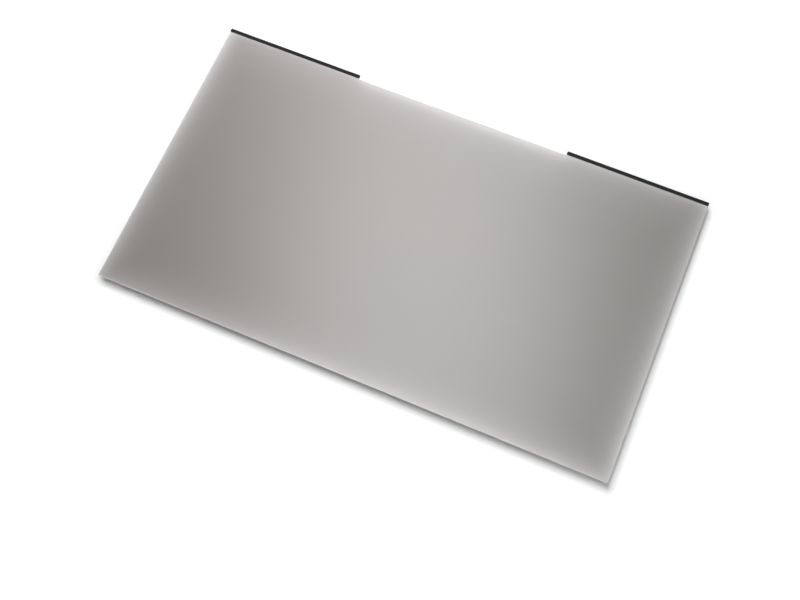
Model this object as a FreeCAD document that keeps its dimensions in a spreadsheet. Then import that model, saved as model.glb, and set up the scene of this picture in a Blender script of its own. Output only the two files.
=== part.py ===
# Privacy filter for a 24 inch 16:9 monitor: a die-cut sheet of louvre film with two tabs on its
# top edge, and on each tab a flexible magnet strip held by double-sided tape.
# It lies flat with the magnets up. X runs along the top edge, Y towards the tabs, Z up out of the
# sheet. The origin is on the underside, at the middle of the outline with its tabs.

import FreeCAD, Part
import Sketcher
import os

DOCUMENT = "privacy_filter"
SHEET = "sizes"
LEFT, RIGHT = -1, 1

# Driving dimensions in millimetres, with what each one measures.
SIZES = [
    ("panel_width", 531.0, "sheet along its top edge, the screen's own width"),
    ("panel_height", 299.0, "sheet from its lower edge to its top edge, without the tabs"),
    ("panel_thickness", 0.55, "laminated louvre film"),
    ("panel_corner", 0.5, "rounding of the die-cut corners, in plan"),
    ("tab_root", 0.8, "rounding of the notch where a tab rises from the top edge"),
    ("strip_length", 150.0, "magnet strip along the top edge"),
    ("strip_width", 3.4, "magnet strip across"),
    ("strip_thickness", 1.2, "flexible magnet"),
    ("strip_corner", 1.0, "rounding of the strip's corners, in plan"),
    ("strip_edge", 0.25, "rounding of the strip's upper edges"),
    ("strip_setback", 1.0, "from the sheet's top edge to the strip"),
    ("strip_margin", 0.1, "bare film round the strip on its tab"),
    ("tape_thickness", 0.15, "double-sided tape under the strip"),
]

# Sizes that follow from those above, written as sheet formulas.
TAB_LENGTH = f"({SHEET}.strip_length + 2 * {SHEET}.strip_margin)"
TAB_RISE = f"({SHEET}.strip_setback + {SHEET}.strip_width + {SHEET}.strip_margin)"
HALF_WIDTH = f"({SHEET}.panel_width / 2)"
HALF_OUTLINE = f"(({SHEET}.panel_height + {TAB_RISE}) / 2)"
TOP_EDGE = f"({HALF_OUTLINE} - {TAB_RISE})"
STRIP_X = f"({HALF_WIDTH} - {SHEET}.strip_margin - {SHEET}.strip_length / 2)"
STRIP_Y = f"({TOP_EDGE} + {SHEET}.strip_setback + {SHEET}.strip_width / 2)"
TAPE_Z = f"{SHEET}.panel_thickness"
STRIP_Z = f"({SHEET}.panel_thickness + {SHEET}.tape_thickness)"


def make_sizes(doc):
    """The spreadsheet that every piece takes its dimensions from."""
    sheet = doc.addObject("Spreadsheet::Sheet", SHEET)
    for row, (alias, value, meaning) in enumerate(SIZES, start=1):
        sheet.set(f"A{row}", alias)
        sheet.set(f"B{row}", str(value))
        sheet.set(f"C{row}", meaning)
        sheet.setAlias(f"B{row}", alias)
    doc.recompute()
    return sheet


def origin_plane(body, role):
    """One of a body's own three base planes, such as XY_Plane."""
    return next(plane for plane in body.Origin.OriginFeatures if plane.Role == role)


def add_rectangle(sketch, low_x, high_x, low_y, high_y):
    """A rectangle whose four sides lie at these formulas, measured from the sketch's origin."""
    corners = [FreeCAD.Vector(x, y, 0) for x, y in ((-1, -1), (1, -1), (1, 1), (-1, 1))]
    for start, end in zip(corners, corners[1:] + corners[:1]):
        sketch.addGeometry(Part.LineSegment(start, end), False)
    for side in range(4):
        sketch.addConstraint(Sketcher.Constraint("Coincident", side, 2, (side + 1) % 4, 1))
    for side, direction in ((0, "Horizontal"), (1, "Vertical"), (2, "Horizontal"), (3, "Vertical")):
        sketch.addConstraint(Sketcher.Constraint(direction, side))
    places = (
        ("low_x", "DistanceX", 0, low_x, -1),
        ("low_y", "DistanceY", 0, low_y, -1),
        ("high_x", "DistanceX", 2, high_x, 1),
        ("high_y", "DistanceY", 2, high_y, 1),
    )
    for name, kind, side, formula, start_value in places:
        index = sketch.addConstraint(Sketcher.Constraint(kind, -1, 1, side, 1, start_value))
        sketch.renameConstraint(index, name)
        sketch.setExpression(f"Constraints.{name}", formula)


def pad_rectangle(body, name, sides, thickness):
    """Raises a rectangle, drawn on the body's XY plane, into a plate of this thickness."""
    sketch = body.newObject("Sketcher::SketchObject", f"{name}_outline")
    sketch.AttachmentSupport = (origin_plane(body, "XY_Plane"), "")
    sketch.MapMode = "FlatFace"
    add_rectangle(sketch, *sides)
    pad = body.newObject("PartDesign::Pad", f"{name}_pad")
    pad.Profile = sketch
    pad.setExpression("Length", thickness)
    body.Document.recompute()
    return pad


def round_edges(body, name, base, wanted, radius):
    """Fillets those edges of the base feature for which wanted(edge) holds."""
    names = [f"Edge{n}" for n, edge in enumerate(base.Shape.Edges, start=1) if wanted(edge)]
    fillet = body.newObject("PartDesign::Fillet", name)
    fillet.Base = (base, names)
    fillet.setExpression("Radius", radius)
    body.Document.recompute()
    return fillet


def stands_upright(edge):
    """True for an edge that runs through the plate's thickness."""
    return edge.BoundBox.ZLength > edge.BoundBox.DiagonalLength / 2


def make_panel(doc):
    """The sheet: a rectangle with a tab at each end of its top edge, cut from one film."""
    body = doc.addObject("PartDesign::Body", "filter_panel")
    panel_sides = (f"-{HALF_WIDTH}", HALF_WIDTH, f"-{HALF_OUTLINE}", TOP_EDGE)
    pad_rectangle(body, "panel", panel_sides, f"{SHEET}.panel_thickness")
    tab_sides = (f"-{HALF_WIDTH}", f"-{HALF_WIDTH} + {TAB_LENGTH}", TOP_EDGE, HALF_OUTLINE)
    tab = pad_rectangle(body, "tab", tab_sides, f"{SHEET}.panel_thickness")

    both_tabs = body.newObject("PartDesign::Mirrored", "both_tabs")
    both_tabs.Originals = [tab]
    both_tabs.MirrorPlane = (origin_plane(body, "YZ_Plane"), [""])
    body.Tip = both_tabs
    doc.recompute()

    top_edge = FreeCAD.Units.Quantity(body.evalExpression(TOP_EDGE)).Value

    def in_notch(edge):
        return stands_upright(edge) and abs(edge.CenterOfMass.y - top_edge) < edge.Length / 2

    def on_corner(edge):
        return stands_upright(edge) and not in_notch(edge)

    notch = round_edges(body, "notch_rounds", both_tabs, in_notch, f"{SHEET}.tab_root")
    round_edges(body, "corner_rounds", notch, on_corner, f"{SHEET}.panel_corner")
    return body


def make_strip(doc, label, end, bottom, thickness):
    """A plate of the magnet strip's outline over one tab, at this height above the underside."""
    body = doc.addObject("PartDesign::Body", label)
    half_length, half_width = f"({SHEET}.strip_length / 2)", f"({SHEET}.strip_width / 2)"
    sides = (f"-{half_length}", half_length, f"-{half_width}", half_width)
    plate = pad_rectangle(body, label, sides, thickness)
    round_edges(body, f"{label}_corners", plate, stands_upright, f"{SHEET}.strip_corner")
    body.setExpression("Placement.Base.x", f"{end} * {STRIP_X}")
    body.setExpression("Placement.Base.y", STRIP_Y)
    body.setExpression("Placement.Base.z", bottom)
    doc.recompute()
    return body


def soften_upper_edge(body):
    """Rounds the edge all round a strip's upper face, as a slit and rolled magnet has it."""
    base = body.Tip
    top = base.Shape.BoundBox.ZMax

    def along_the_top(edge):
        return abs(edge.BoundBox.ZMin - top) < 1e-6

    round_edges(body, f"{body.Name}_edge", base, along_the_top, f"{SHEET}.strip_edge")


def check(doc, pieces):
    """Stops the build if any feature failed or any piece is not one sound solid."""
    failed = [o.Name for o in doc.Objects if {"Invalid", "Error"} & set(o.State)]
    if failed:
        raise RuntimeError(f"features that failed: {failed}")
    for piece in pieces:
        shape = piece.Shape
        if shape.isNull() or not shape.isValid() or len(shape.Solids) != 1:
            raise RuntimeError(f"{piece.Label} is not one valid solid")


def main():
    doc = FreeCAD.newDocument(DOCUMENT)
    make_sizes(doc)
    pieces = [make_panel(doc)]
    for side, end in (("left", LEFT), ("right", RIGHT)):
        tape = make_strip(doc, f"{side}_bond_tape", end, TAPE_Z, f"{SHEET}.tape_thickness")
        magnet = make_strip(doc, f"{side}_magnet_strip", end, STRIP_Z, f"{SHEET}.strip_thickness")
        soften_upper_edge(magnet)
        pieces += [tape, magnet]
    doc.recompute()
    check(doc, pieces)

    os.makedirs("parts", exist_ok=True)
    for piece in pieces:
        piece.Shape.exportStep(f"parts/{piece.Label}.step")
        box = piece.Shape.optimalBoundingBox(False, False)
        print(
            f"{piece.Label}: {box.XLength:.2f} x {box.YLength:.2f} x {box.ZLength:.2f} mm,"
            f" from z {box.ZMin:.2f}, {piece.Shape.Volume:.1f} mm3"
        )


main()
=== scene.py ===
# %% [markdown]
# # A privacy filter for a monitor
#
# The object is a sheet of smoky louvre film, half a millimetre thick and as large as a 24 inch
# screen. Two black magnet strips sit on tabs along its top edge and hang it over the display.
#
# The CAD model already has every piece at its real size, so nothing is moved or resized here. This
# lesson gives the pieces their finishes, builds the film's inner louvres, and sets up a small
# studio: camera, table and lights. Blender counts in metres, in the same frame as the CAD.

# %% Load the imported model
import math

import bpy
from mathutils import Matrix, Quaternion, Vector


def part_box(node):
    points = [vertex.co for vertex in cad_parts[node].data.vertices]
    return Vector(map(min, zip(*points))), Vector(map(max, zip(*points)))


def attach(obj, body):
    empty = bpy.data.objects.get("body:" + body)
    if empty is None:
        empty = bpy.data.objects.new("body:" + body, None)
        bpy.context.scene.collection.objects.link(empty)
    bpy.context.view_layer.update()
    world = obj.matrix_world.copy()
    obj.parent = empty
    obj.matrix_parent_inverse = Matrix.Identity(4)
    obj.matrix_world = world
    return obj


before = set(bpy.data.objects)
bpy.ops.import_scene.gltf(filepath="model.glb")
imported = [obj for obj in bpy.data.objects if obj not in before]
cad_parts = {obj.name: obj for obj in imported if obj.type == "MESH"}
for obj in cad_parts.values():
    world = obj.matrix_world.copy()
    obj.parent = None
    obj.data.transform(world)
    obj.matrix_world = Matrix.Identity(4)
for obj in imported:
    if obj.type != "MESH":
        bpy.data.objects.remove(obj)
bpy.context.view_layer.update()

MM = 0.001
scene = bpy.context.scene
film_low, film_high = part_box("filter_panel")
strip_low, strip_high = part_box("right_magnet_strip")
tape_low, tape_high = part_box("right_bond_tape")
print("pieces:", ", ".join(sorted(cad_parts)))
print("film with its tabs, mm:", [round(side / MM, 2) for side in film_high - film_low])

# %% [markdown]
# ## The camera
#
# The photograph looks steeply down on the sheet from the front right. Its four corners are enough
# to work out the view: a flat rectangle of known sides fits them from one place only, with one
# focal length. The numbers below are that answer. They could be typed as a location and three
# Euler angles, but a point to aim at, a distance and three plain angles are easier to read and to
# change. `to_track_quat` turns the camera towards the point, and the roll is added last, about the
# camera's own axis.

# %% Camera
AIM = Vector((20.04, -61.14, 0.55)) * MM
DISTANCE = 1067.8 * MM
AZIMUTH, ELEVATION, ROLL = (math.radians(angle) for angle in (26.13, 70.97, -3.31))
SENSOR_WIDTH, LENS = 36.0, 49.33

lens = bpy.data.cameras.new("camera")
lens.sensor_width = SENSOR_WIDTH
lens.lens = LENS
camera = bpy.data.objects.new("camera", lens)
scene.collection.objects.link(camera)
scene.camera = camera

level = math.cos(ELEVATION)
backward = Vector((math.sin(AZIMUTH) * level, -math.cos(AZIMUTH) * level, math.sin(ELEVATION)))
camera.location = AIM + DISTANCE * backward
camera.rotation_mode = "QUATERNION"
camera.rotation_quaternion = (-backward).to_track_quat("-Z", "Y") @ Quaternion((0, 0, 1), ROLL)
print("camera at, mm:", [round(value / MM) for value in camera.location])

# %% [markdown]
# ## Tools for building node trees
#
# Every finish below is a small tree of shader nodes. Adding nodes and links by hand takes three
# lines a node, so these helpers do it in one. A value that they are given is either a number, which
# is typed into the socket, or the output of another node, which is linked to it. The Math node is
# the same in a shader and in Geometry Nodes, so `calc` serves both.

# %% Helpers for node trees
def feed(tree, value, socket):
    """Links an output to the socket, or types a plain value into it."""
    if isinstance(value, bpy.types.NodeSocket):
        tree.links.new(value, socket)
    else:
        socket.default_value = value


def add_node(tree, kind, **values):
    """A node of this kind, with the named inputs fed. An underscore stands for a space."""
    node = tree.nodes.new(kind)
    for name, value in values.items():
        feed(tree, value, node.inputs[name.replace("_", " ")])
    return node


def calc(tree, operation, *values):
    """One step of arithmetic."""
    node = tree.nodes.new("ShaderNodeMath")
    node.operation = operation
    for value, socket in zip(values, node.inputs):
        feed(tree, value, socket)
    return node.outputs["Value"]


def new_finish(name):
    """An empty material: its tree, and the socket that its surface goes to."""
    finish = bpy.data.materials.new(name)
    finish.use_nodes = True
    finish.node_tree.nodes.clear()
    output = finish.node_tree.nodes.new("ShaderNodeOutputMaterial")
    return finish, finish.node_tree, output.inputs["Surface"]


print("node helpers: feed, add_node, calc, new_finish")

# %% [markdown]
# ## Patterns for the finishes
#
# All patterns read Object coordinates, which are metres in the shared frame. A noise scale is then
# simply one over the size of a speck, so that a grain of half a millimetre can be asked for as that.
# Blender's noise stays near one half, so a Map Range node brings it into the range that a colour or
# a roughness needs. The same node turns a distance into a soft step.

# %% Helpers for patterns
NOISE_LOW, NOISE_MIDDLE, NOISE_HIGH = 0.3, 0.5, 0.7


def object_place(tree):
    """The point of the surface, in metres."""
    return tree.nodes.new("ShaderNodeTexCoord").outputs["Object"]


def split(tree, place):
    """The X, Y and Z of a place, as three outputs."""
    return add_node(tree, "ShaderNodeSeparateXYZ", Vector=place).outputs


def specks(tree, place, size, detail=2.0, stretch=(1, 1, 1)):
    """Noise with specks of this size, drawn out by stretch along each axis."""
    spread = add_node(tree, "ShaderNodeMapping", Vector=place)
    spread.inputs["Scale"].default_value = [1 / (size * factor) for factor in stretch]
    noise = add_node(tree, "ShaderNodeTexNoise", Vector=spread.outputs["Vector"], Scale=1.0, Detail=detail)
    return noise.outputs["Fac"]


def between(tree, value, start, end, low=0.0, high=1.0):
    """Brings a value that runs from start to end smoothly into the range from low to high."""
    ramp = tree.nodes.new("ShaderNodeMapRange")
    ramp.interpolation_type = "SMOOTHSTEP"
    for name, number in (("From Min", start), ("From Max", end), ("To Min", low), ("To Max", high)):
        feed(tree, number, ramp.inputs[name])
    feed(tree, value, ramp.inputs["Value"])
    return ramp.outputs["Result"]


def vary(tree, noise, low, high):
    """Spreads a noise over the range from low to high."""
    return between(tree, noise, NOISE_LOW, NOISE_HIGH, low, high)


print("pattern helpers: object_place, split, specks, between, vary")

# %% [markdown]
# ## Colour, relief and putting a finish on
#
# A Mix node blends two colours by a share, and a Bump node makes a pattern look raised without
# adding faces, which suits relief that is shallower than a tenth of a millimetre. The CAD pieces keep
# their meshes as they are. A new finish only takes the place of the plain one in their material slot.

# %% Helpers for colour and relief
def tint(tree, share, first, second):
    """A colour that goes from the first to the second as share goes from 0 to 1."""
    mix = tree.nodes.new("ShaderNodeMix")
    mix.data_type = "RGBA"
    feed(tree, share, mix.inputs["Factor"])
    for colour, name in ((first, "A"), (second, "B")):
        socket = next(s for s in mix.inputs if s.name == name and s.type == "RGBA")
        feed(tree, colour if isinstance(colour, bpy.types.NodeSocket) else (*colour, 1), socket)
    return next(s for s in mix.outputs if s.type == "RGBA")


def bumps(tree, height, depth, strength):
    """A normal that makes a height pattern of this depth look raised."""
    bump = add_node(tree, "ShaderNodeBump", Strength=strength, Distance=depth, Height=height)
    return bump.outputs["Normal"]


def put_on(finish, *nodes):
    """Gives these CAD nodes the finish, in place of the plain one that they came with."""
    for node in nodes:
        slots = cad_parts[node].data.materials
        slots.clear()
        slots.append(finish)
    print(finish.name, "on", ", ".join(nodes))


print("finish helpers: tint, bumps, put_on")

# %% [markdown]
# ## The painted light at the film's edges
#
# The film's colour carries painted light towards its edges: it grows paler by a share that falls off
# with the distance, an exponential. The painted rim reaches further in from the top and the foot than
# from the sides, and less under the magnet strips, where painted shade stands for their shade. It
# also leans a little towards the two corners that face a lamp. The lower edge has a thin painted
# highlight besides.
#
# It could be painted as a vertex colour, but the sheet has no vertices inside its outline. Distances
# in Object coordinates need none. A little of Y in X, and of X in Y, makes them lean, and a smooth
# minimum joins the sides without a crease at the corners.

# %% Distance to the edges
SIDE_REACH, FOOT_REACH, TOP_REACH = 10 * MM, 12 * MM, 20 * MM
FOOT_SETBACK, TOP_SETBACK = 3 * MM, 6 * MM
RIM_LIGHT_LEAN = 0.012
STRIP_SHADE = 9 * MM
SHADE_BLEND = 20 * MM
CORNER_BLEND = 1.5
# Width and strength of the painted highlight on the lower edge:
FOOT_HIGHLIGHT_WIDTH, FOOT_HIGHLIGHT_SHARE = 2 * MM, 0.6


# Painted light at the rim, leaning towards the lamps, and painted shade under the strips.
def painted_rim_light(tree, axes):
    """Painted light: near 1 at the cut edges, falling to 0 inside the sheet, with painted shade under the
    strips.
    """
    aside = calc(tree, "ABSOLUTE", axes["X"])
    under_strip = between(tree, aside, strip_low.x - SHADE_BLEND, strip_low.x + SHADE_BLEND)
    leaning_x = calc(tree, "MULTIPLY_ADD", axes["Y"], -RIM_LIGHT_LEAN, axes["X"])
    leaning_y = calc(tree, "MULTIPLY_ADD", axes["X"], -RIM_LIGHT_LEAN, axes["Y"])
    from_side = calc(tree, "SUBTRACT", film_high.x, calc(tree, "ABSOLUTE", leaning_x))
    from_foot = calc(tree, "SUBTRACT", leaning_y, film_low.y - FOOT_SETBACK)
    from_top = calc(tree, "SUBTRACT", film_high.y + TOP_SETBACK, axes["Y"])
    from_light = calc(tree, "MULTIPLY_ADD", under_strip, STRIP_SHADE, from_top)

    side = calc(tree, "DIVIDE", from_side, SIDE_REACH)
    foot = calc(tree, "DIVIDE", from_foot, FOOT_REACH)
    top = calc(tree, "DIVIDE", from_light, TOP_REACH)
    nearest = calc(tree, "SMOOTH_MIN", side, calc(tree, "MINIMUM", foot, top), CORNER_BLEND)
    depth = calc(tree, "MAXIMUM", nearest, 0.0)
    return calc(tree, "EXPONENT", calc(tree, "MULTIPLY", depth, -1.0))


def foot_highlight(tree, axes):
    """A painted highlight: strongest on the lower cut edge, and 0 a little way in."""
    return between(tree, axes["Y"], film_low.y, film_low.y + FOOT_HIGHLIGHT_WIDTH, FOOT_HIGHLIGHT_SHARE, 0.0)


# The reaches of the painted rim light:
print("edge glow reaches, mm:", [round(reach / MM) for reach in (SIDE_REACH, FOOT_REACH, TOP_REACH)])

# %% [markdown]
# ## The film
#
# Privacy film is a clear plastic with hair-thin black louvres inside and a satin face on both sides.
# It reads as a smoky grey, a little warmer at one end than at the other, through which a table shows
# only faintly.
#
# Glass with a volume inside would be truer to the physics, but at half a millimetre it renders
# slowly and full of noise, and an exported model loses it. One Principled shader with a plain Alpha
# shows the same: the louvres and the table show through it, and its broad gloss takes the soft box as
# a pale band. The gloss is stronger than plain plastic's, as on a coated face. A noise a hand wide
# makes the change of tint wander, and a fine one gives the satin its grain.

# %% The film's finish
FILM_WARM = (0.195, 0.174, 0.163)
FILM_COOL = (0.184, 0.175, 0.161)
# The next two colours are painted light: the pale rim, and the highlight on the lower edge.
FILM_RIM_LIGHT = (0.585, 0.563, 0.554)
FILM_FOOT_HIGHLIGHT = (0.68, 0.66, 0.65)
FILM_COVER = 0.55
FILM_GLOSS_IOR = 2.1
FILM_ROUGHNESS = (0.32, 0.40)
WARM_UNTIL, COOL_FROM = -40 * MM, 140 * MM
CLOUD, CLOUD_WANDER = 160 * MM, 400 * MM
FILM_GRAIN, FILM_RELIEF, FILM_RELIEF_SHOWN = 0.6 * MM, 0.01 * MM, 0.15


def film_colour(tree, place):
    """Smoky grey from warm to cool, with the painted rim light and the painted highlight on the lower edge
    over it.
    """
    axes = split(tree, place)
    cloud = calc(tree, "SUBTRACT", specks(tree, place, CLOUD), NOISE_MIDDLE)
    across = calc(tree, "MULTIPLY_ADD", cloud, CLOUD_WANDER, axes["X"])
    smoke = tint(tree, between(tree, across, WARM_UNTIL, COOL_FROM), FILM_WARM, FILM_COOL)
    rimmed = tint(tree, painted_rim_light(tree, axes), smoke, FILM_RIM_LIGHT)
    return tint(tree, foot_highlight(tree, axes), rimmed, FILM_FOOT_HIGHLIGHT)


def smoky_film():
    """Satin see-through film."""
    finish, tree, surface = new_finish("smoky_film")
    place = object_place(tree)
    grain = specks(tree, place, FILM_GRAIN)
    shader = add_node(
        tree,
        "ShaderNodeBsdfPrincipled",
        Base_Color=film_colour(tree, place),
        Roughness=vary(tree, grain, *FILM_ROUGHNESS),
        Normal=bumps(tree, grain, FILM_RELIEF, FILM_RELIEF_SHOWN),
        IOR=FILM_GLOSS_IOR,
        Alpha=FILM_COVER,
    )
    feed(tree, shader.outputs["BSDF"], surface)
    return finish


put_on(smoky_film(), "filter_panel")

# %% [markdown]
# ## The louvres inside the film
#
# What makes the filter private is a row of tiny black blades, on edge inside the film and upright on
# the screen. From the front they hide almost nothing. From the side each blade covers the gap to the
# next one, and the sheet turns dark. A picture of stripes could only paint one of the two looks, and
# real blades give both from every side.
#
# Their black is soot in plastic, so it is dull, with a trace of grain drawn out along each blade.

# %% The louvres' finish
LOUVRE_BLACK = (0.012, 0.012, 0.012)
LOUVRE_GREY = (0.028, 0.027, 0.026)
LOUVRE_GRAIN, LOUVRE_DRAW = 0.8 * MM, (1, 6, 1)
LOUVRE_ROUGHNESS, LOUVRE_SPECULAR = 0.9, 0.1


def louvre_soot():
    """Soot black, dull, with a trace of grain along each blade."""
    finish, tree, surface = new_finish("louvre_soot")
    grain = specks(tree, object_place(tree), LOUVRE_GRAIN, stretch=LOUVRE_DRAW)
    shader = add_node(
        tree,
        "ShaderNodeBsdfPrincipled",
        Base_Color=tint(tree, grain, LOUVRE_BLACK, LOUVRE_GREY),
        Roughness=LOUVRE_ROUGHNESS,
        Specular_IOR_Level=LOUVRE_SPECULAR,
    )
    feed(tree, shader.outputs["BSDF"], surface)
    return finish


soot = louvre_soot()
print("finish:", soot.name)

# %% [markdown]
# ## A tree that sets blades in a row
#
# The blades are far too many to place by hand and all alike, which is what Geometry Nodes are for:
# a line of points, a thin box on each, then Realize Instances, so that the result is plain mesh. The
# row's count, pitch and blade size are inputs of the tree, so that it can be used for any such film.

# %% Blade row
ROW_INPUTS = (
    ("Count", "NodeSocketInt"),
    ("Pitch", "NodeSocketFloat"),
    ("Blade", "NodeSocketVector"),
    ("Middle", "NodeSocketVector"),
    ("Finish", "NodeSocketMaterial"),
)


def first_place(tree, given):
    """Where the first blade stands: half of the row's length before its middle."""
    gaps = calc(tree, "SUBTRACT", given["Count"], 1.0)
    half_row = calc(tree, "DIVIDE", calc(tree, "MULTIPLY", gaps, given["Pitch"]), 2.0)
    along = add_node(tree, "ShaderNodeCombineXYZ", X=half_row)
    place = tree.nodes.new("ShaderNodeVectorMath")
    place.operation = "SUBTRACT"
    feed(tree, given["Middle"], place.inputs[0])
    feed(tree, along.outputs["Vector"], place.inputs[1])
    return place.outputs["Vector"]


def blade_row():
    """Geometry Nodes: Count thin boxes of size Blade, Pitch apart along X, about Middle."""
    tree = bpy.data.node_groups.new("blade_row", "GeometryNodeTree")
    for name, kind in ROW_INPUTS:
        tree.interface.new_socket(name, in_out="INPUT", socket_type=kind)
    tree.interface.new_socket("Geometry", in_out="OUTPUT", socket_type="NodeSocketGeometry")
    given = tree.nodes.new("NodeGroupInput").outputs

    step = add_node(tree, "ShaderNodeCombineXYZ", X=given["Pitch"])
    row = add_node(
        tree,
        "GeometryNodeMeshLine",
        Count=given["Count"],
        Start_Location=first_place(tree, given),
        Offset=step.outputs["Vector"],
    )
    blade = add_node(tree, "GeometryNodeMeshCube", Size=given["Blade"])
    placed = add_node(
        tree, "GeometryNodeInstanceOnPoints", Points=row.outputs["Mesh"], Instance=blade.outputs["Mesh"]
    )
    real = add_node(tree, "GeometryNodeRealizeInstances", Geometry=placed.outputs["Instances"])
    painted = add_node(
        tree, "GeometryNodeSetMaterial", Geometry=real.outputs["Geometry"], Material=given["Finish"]
    )
    output = tree.nodes.new("NodeGroupOutput")
    feed(tree, painted.outputs["Geometry"], output.inputs["Geometry"])
    return tree


blades = blade_row()
print("tree:", blades.name, "with", len(blades.nodes), "nodes")

# %% [markdown]
# ## Filling the film
#
# The real pitch is about a tenth of a millimetre. Three tenths look the same from a step away, with
# a third of the faces. The row keeps half a millimetre inside the film's outline, and ends short of
# the strips, because between the tabs the film's top edge lies below them.
#
# The tree runs as a modifier on an empty mesh. A modifier's inputs are set by the identifiers of the
# tree's sockets, not by their names.

# %% Fill the film with louvres
LOUVRE_PITCH = 0.30 * MM
LOUVRE_THICKNESS = 0.03 * MM
LOUVRE_DEPTH = 0.35 * MM
LOUVRE_INSET = 0.5 * MM
BELOW_STRIPS = 1.5 * MM

row_width = film_high.x - film_low.x - 2 * LOUVRE_INSET
louvre_foot = film_low.y + LOUVRE_INSET
louvre_top = strip_low.y - BELOW_STRIPS
row_sizes = {
    "Count": int(row_width / LOUVRE_PITCH),
    "Pitch": LOUVRE_PITCH,
    "Blade": (LOUVRE_THICKNESS, louvre_top - louvre_foot, LOUVRE_DEPTH),
    "Middle": (0, (louvre_foot + louvre_top) / 2, (film_low.z + film_high.z) / 2),
    "Finish": soot,
}

louvres = bpy.data.objects.new("louvres", bpy.data.meshes.new("louvres"))
scene.collection.objects.link(louvres)
modifier = louvres.modifiers.new("blade_row", "NODES")
modifier.node_group = blades
for item in blades.interface.items_tree:
    if item.in_out == "INPUT":
        modifier[item.identifier] = row_sizes[item.name]
print("louvres:", row_sizes["Count"], "blades,", round((louvre_top - louvre_foot) / MM, 2), "mm long")

# %% [markdown]
# ## From a modifier to a mesh
#
# The louvres have to be an ordinary piece, as the CAD ones are. The operator that applies a modifier
# would do, but it works on whatever object is active. Taking the evaluated result as a new mesh, and
# the modifier away, needs no such state.

# %% Make the louvres a plain mesh
evaluated = louvres.evaluated_get(bpy.context.evaluated_depsgraph_get())
plain_louvres = bpy.data.meshes.new_from_object(evaluated)
louvres.modifiers.remove(modifier)
louvres.data = plain_louvres
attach(louvres, "root")
print("louvres:", len(plain_louvres.polygons), "faces")

# %% [markdown]
# ## The magnet strips
#
# Flexible magnet is rubber full of iron powder, rolled flat and slit into strips. It is a dull black
# with faint lines along its length from the rollers and a fine grain. Its upper edges get a painted
# highlight, paler in patches. The CAD strip has the rounded edge, so only the finish is missing. A
# noise drawn out along the strip makes the roller lines, a second one the grain. The painted highlight
# comes from the distance to the strip's middle line and from the height, both in Object coordinates.

# %% The magnets' finish
MAGNET_BLACK = (0.006, 0.006, 0.0062)
MAGNET_GREY = (0.013, 0.013, 0.0134)
# The colour of the painted highlight along the upper edges:
MAGNET_HIGHLIGHT = (0.05, 0.05, 0.05)
MAGNET_ROUGHNESS, MAGNET_SPECULAR = (0.58, 0.74), 0.12
MAGNET_GRAIN, GRAIN_DETAIL, GRAIN_SHARE = 0.3 * MM, 3.0, 0.4
ROLLER_LINE, ROLLER_DRAW = 0.25 * MM, (60, 1, 1)
MAGNET_RELIEF, MAGNET_RELIEF_SHOWN = 0.03 * MM, 0.4
# Band width, patch size and least share of the painted highlight:
HIGHLIGHT_BAND, HIGHLIGHT_PATCH, HIGHLIGHT_LEAST = 0.5 * MM, 4 * MM, 0.3


def strip_edge_highlight(tree, place):
    """A painted highlight: up to 1 along the strip's upper edges, in patches, and 0 elsewhere."""
    axes = split(tree, place)
    half = (strip_high.y - strip_low.y) / 2
    aside = calc(tree, "ABSOLUTE", calc(tree, "SUBTRACT", axes["Y"], strip_low.y + half))
    at_side = between(tree, aside, half - HIGHLIGHT_BAND, half)
    at_top = between(tree, axes["Z"], strip_high.z - HIGHLIGHT_BAND, strip_high.z)
    patches = vary(tree, specks(tree, place, HIGHLIGHT_PATCH), HIGHLIGHT_LEAST, 1.0)
    return calc(tree, "MULTIPLY", calc(tree, "MULTIPLY", at_side, at_top), patches)


def magnet_rubber():
    """Dull black magnet with roller lines, grain and a painted highlight along the upper edges."""
    finish, tree, surface = new_finish("magnet_rubber")
    place = object_place(tree)
    lines = specks(tree, place, ROLLER_LINE, stretch=ROLLER_DRAW)
    grain = specks(tree, place, MAGNET_GRAIN, detail=GRAIN_DETAIL)
    grain_height = calc(tree, "MULTIPLY", grain, GRAIN_SHARE)
    height = calc(tree, "MULTIPLY_ADD", lines, 1.0 - GRAIN_SHARE, grain_height)
    rubber = tint(tree, lines, MAGNET_BLACK, MAGNET_GREY)
    shader = add_node(
        tree,
        "ShaderNodeBsdfPrincipled",
        Base_Color=tint(tree, strip_edge_highlight(tree, place), rubber, MAGNET_HIGHLIGHT),
        Roughness=vary(tree, grain, *MAGNET_ROUGHNESS),
        Specular_IOR_Level=MAGNET_SPECULAR,
        Normal=bumps(tree, height, MAGNET_RELIEF, MAGNET_RELIEF_SHOWN),
    )
    feed(tree, shader.outputs["BSDF"], surface)
    return finish


put_on(magnet_rubber(), "left_magnet_strip", "right_magnet_strip")

# %% [markdown]
# ## The tape under the magnets
#
# A double-sided tape holds each strip to its tab, and only its edge can be seen, as a dark line under
# the magnet. Such a tape is a carrier of fine fibres with glue on both faces. The height decides
# which of the two shows: glue, dark and a little shiny, above and below, and the paler, dull carrier
# between. Three solids would only add faces to a line that is two hairs thick.

# %% The tape's finish
TAPE_GLUE = (0.022, 0.022, 0.023)
TAPE_CARRIER = (0.080, 0.078, 0.075)
GLUE_ROUGHNESS, CARRIER_ROUGHNESS = 0.4, 0.85
CARRIER_HALF, GLUE_FROM = 0.02 * MM, 0.04 * MM
FIBRE, FIBRE_DRAW = 0.03 * MM, (8, 8, 1)
FIBRE_RELIEF, FIBRE_RELIEF_SHOWN = 0.01 * MM, 0.5


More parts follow.
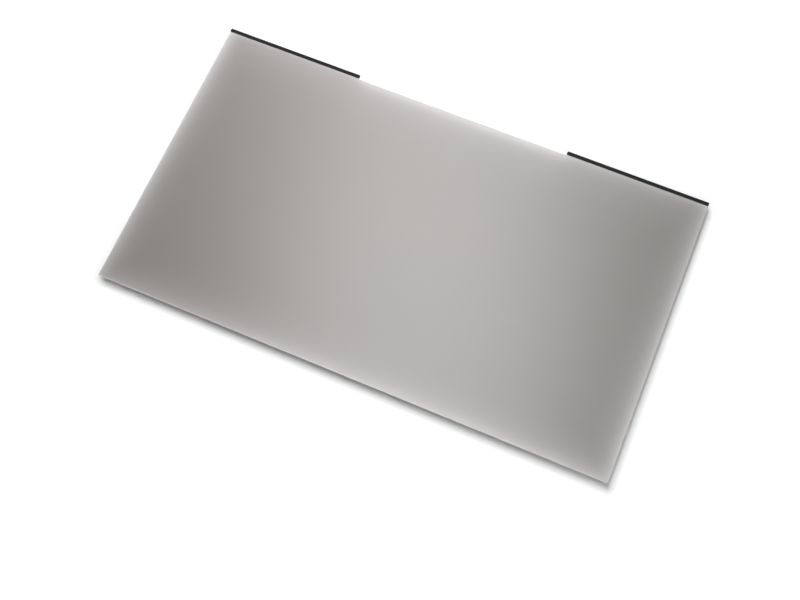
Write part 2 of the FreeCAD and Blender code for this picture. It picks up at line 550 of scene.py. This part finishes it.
def layered_tape():
    """Dark glue above and below, and between them a paler carrier of fine fibres."""
    finish, tree, surface = new_finish("layered_tape")
    place = object_place(tree)
    fibres = specks(tree, place, FIBRE, stretch=FIBRE_DRAW)
    mid_height = (tape_low.z + tape_high.z) / 2
    off_middle = calc(tree, "ABSOLUTE", calc(tree, "SUBTRACT", split(tree, place)["Z"], mid_height))
    carrier = between(tree, off_middle, CARRIER_HALF, GLUE_FROM, 1.0, 0.0)
    shader = add_node(
        tree,
        "ShaderNodeBsdfPrincipled",
        Base_Color=tint(tree, calc(tree, "MULTIPLY", carrier, fibres), TAPE_GLUE, TAPE_CARRIER),
        Roughness=between(tree, carrier, 0.0, 1.0, GLUE_ROUGHNESS, CARRIER_ROUGHNESS),
        Normal=bumps(tree, fibres, FIBRE_RELIEF, FIBRE_RELIEF_SHOWN),
    )
    feed(tree, shader.outputs["BSDF"], surface)
    return finish


put_on(layered_tape(), "left_bond_tape", "right_bond_tape")

# %% [markdown]
# ## The table
#
# The photograph shows a pure white ground, with a soft shadow a centimetre wide along the lower and
# right edges only. So thin a sheet casts no such shadow on what it lies on. It does on a white board
# a few millimetres below, under a clear table top, which is how such pictures are often taken.
#
# The ground has to be white to the horizon without more light on the object. The Light Path node
# tells a ray that looks, from the camera or by way of a gloss or glass, from one that lights. What
# glows only for the first kind is seen as white and lights nothing.

# %% White for rays that look, not for rays that light
STAGE_SIZE = 40.0


def looking_rays(tree):
    """1 for rays from the camera, off a gloss or through glass, and 0 for rays that light things."""
    path = tree.nodes.new("ShaderNodeLightPath").outputs
    mirrored = calc(tree, "ADD", path["Is Glossy Ray"], path["Is Transmission Ray"])
    return calc(tree, "MINIMUM", calc(tree, "ADD", path["Is Camera Ray"], mirrored), 1.0)


def stage_plane(name, height, finish):
    """A large level plane that is part of the studio, not of the object."""
    bpy.ops.mesh.primitive_plane_add(size=STAGE_SIZE, location=(0, 0, height))
    plane = bpy.context.object
    plane.name = name
    plane.data.materials.append(finish)
    print(name, "at", round(height / MM, 2), "mm")
    return plane


print("stage planes are", STAGE_SIZE, "m wide")

# %% [markdown]
# ## The white board
#
# The board is plain white paint, which shows the shadow, with the glow added past it. The distance
# to the sheet's outline brings the glow in: none close to the edges, all of it three centimetres
# away, so its slow rise is painted shade in the shadow's fade. An even glow would wash the shadow
# out, and none would leave the ground grey.

# %% Board
BOARD_DROP = 6.1 * MM
BOARD_WHITE = (0.80, 0.80, 0.80)
SHADOW_REACH, GLOW_REACH = 3 * MM, 32 * MM


def past(tree, value, reach):
    """How far a coordinate lies outside the range from -reach to reach."""
    return calc(tree, "MAXIMUM", calc(tree, "SUBTRACT", calc(tree, "ABSOLUTE", value), reach), 0.0)


def white_board():
    """White paint that glows for looking rays away from the object's shadow."""
    finish, tree, surface = new_finish("white_board")
    axes = split(tree, object_place(tree))
    outside = [past(tree, axes["X"], film_high.x), past(tree, axes["Y"], film_high.y)]
    squares = [calc(tree, "MULTIPLY", side, side) for side in outside]
    away = calc(tree, "SQRT", calc(tree, "ADD", *squares))
    # The glow's slow rise away from the sheet paints shade into the shadow's fade.
    glow = between(tree, away, SHADOW_REACH, GLOW_REACH)
    paint = add_node(tree, "ShaderNodeBsdfDiffuse", Color=(*BOARD_WHITE, 1))
    light = add_node(tree, "ShaderNodeEmission", Strength=calc(tree, "MULTIPLY", glow, looking_rays(tree)))
    both = tree.nodes.new("ShaderNodeAddShader")
    feed(tree, paint.outputs["BSDF"], both.inputs[0])
    feed(tree, light.outputs["Emission"], both.inputs[1])
    feed(tree, both.outputs["Shader"], surface)
    return finish


stage_plane("white_board", -BOARD_DROP, white_board())

# %% [markdown]
# ## The clear table top
#
# The sheet lies on clear glass. Seen from above it is not there at all, and at a low angle it turns
# into a mirror, as every polished surface does. A glass shader would bend and tint the board's white,
# so a plain transparent one is mixed with a mirror by the angle of view. It casts no shadow.

# %% Table top
WHITE = (1, 1, 1, 1)
TABLE_CLEARANCE = 0.05 * MM
TABLE_POLISH = 0.02
MIRROR_BLEND, MIRROR_POWER = 0.5, 5.0


def clear_top():
    """Clear from above, and a mirror at a low angle."""
    finish, tree, surface = new_finish("clear_top")
    facing = add_node(tree, "ShaderNodeLayerWeight", Blend=MIRROR_BLEND).outputs["Facing"]
    clear = tree.nodes.new("ShaderNodeBsdfTransparent")
    mirror = add_node(tree, "ShaderNodeBsdfGlossy", Color=WHITE, Roughness=TABLE_POLISH)
    mix = tree.nodes.new("ShaderNodeMixShader")
    feed(tree, calc(tree, "POWER", facing, MIRROR_POWER), mix.inputs[0])
    feed(tree, clear.outputs["BSDF"], mix.inputs[1])
    feed(tree, mirror.outputs["BSDF"], mix.inputs[2])
    feed(tree, mix.outputs["Shader"], surface)
    return finish


table_top = stage_plane("table_top", -TABLE_CLEARANCE, clear_top())
table_top.visible_shadow = False

# %% [markdown]
# ## The light
#
# A long soft box hangs over the table, and its blurred reflection is the pale band across the film.
# Mirroring tells where it has to be: a point of the sheet shows what the line from the camera meets
# after its bounce. A wider box gives a wider band, and turning it turns the band. A second, square
# and dim, hangs further to the back left and lifts that corner of the film.
#
# The shadow needs a third lamp, far off behind the table on the left. The larger it is, the softer
# the shadow's rim. A fourth, small and weak, fills the shadow at the front right, where the others
# reach least. Both are hidden from glossy rays, because from some sides their bright faces would burn
# white spots into the film.

# %% Soft boxes
def soft_box(name, middle, size, watts, turn=0.0):
    """A rectangular lamp that faces straight down, turned by some degrees about the upright."""
    lamp = bpy.data.lights.new(name, "AREA")
    lamp.shape = "RECTANGLE"
    lamp.size, lamp.size_y = size
    lamp.energy = watts
    box = bpy.data.objects.new(name, lamp)
    scene.collection.objects.link(box)
    box.location = middle
    box.rotation_euler.z = math.radians(turn)
    print(name, "at", middle, "m,", watts, "W")
    return box


def aim_off_gloss(box, point):
    """Turns a soft box towards a point, and hides it from glossy rays."""
    box.rotation_euler = (point - box.location).to_track_quat("-Z", "Y").to_euler()
    box.visible_glossy = False


soft_box("band_box", middle=(-0.143, 0.38, 1.0), size=(0.56, 1.0), watts=9.5, turn=16)
soft_box("corner_box", middle=(-0.90, 0.92, 1.0), size=(0.7, 0.7), watts=2.3)
shadow_box = soft_box("shadow_box", middle=(-1.25, 1.43, 1.6), size=(1.5, 1.5), watts=42.5)
fill_box = soft_box("fill_box", middle=(0.50, -0.40, 0.45), size=(0.3, 0.3), watts=0.88)
aim_off_gloss(shadow_box, Vector((0, 0, 0)))
aim_off_gloss(fill_box, Vector((film_high.x, film_low.y, 0)))

# %% [markdown]
# ## The room
#
# Light from all round fills the shadow a little and keeps the black strips from turning into holes.
# The room is dim for what it lights and white for what looks at it, by the same Light Path trick as
# the board, so that the background and every reflection of it stay white.

# %% World
ROOM_LIGHT = 0.11


def white_room():
    """A world that is white to looking rays and gives a little light from all round."""
    world = bpy.data.worlds.new("white_room")
    world.use_nodes = True
    tree = world.node_tree
    tree.nodes.clear()
    strength = between(tree, looking_rays(tree), 0.0, 1.0, ROOM_LIGHT, 1.0)
    sky = add_node(tree, "ShaderNodeBackground", Color=WHITE, Strength=strength)
    output = tree.nodes.new("ShaderNodeOutputWorld")
    feed(tree, sky.outputs["Background"], output.inputs["Surface"])
    return world


scene.world = white_room()
print("room light:", ROOM_LIGHT)

# %% [markdown]
# ## The last settings
#
# The Standard view transform shows a colour about as it is written, and a pure white stays white.

# %% Picture settings and the end
scene.view_settings.view_transform = "Standard"
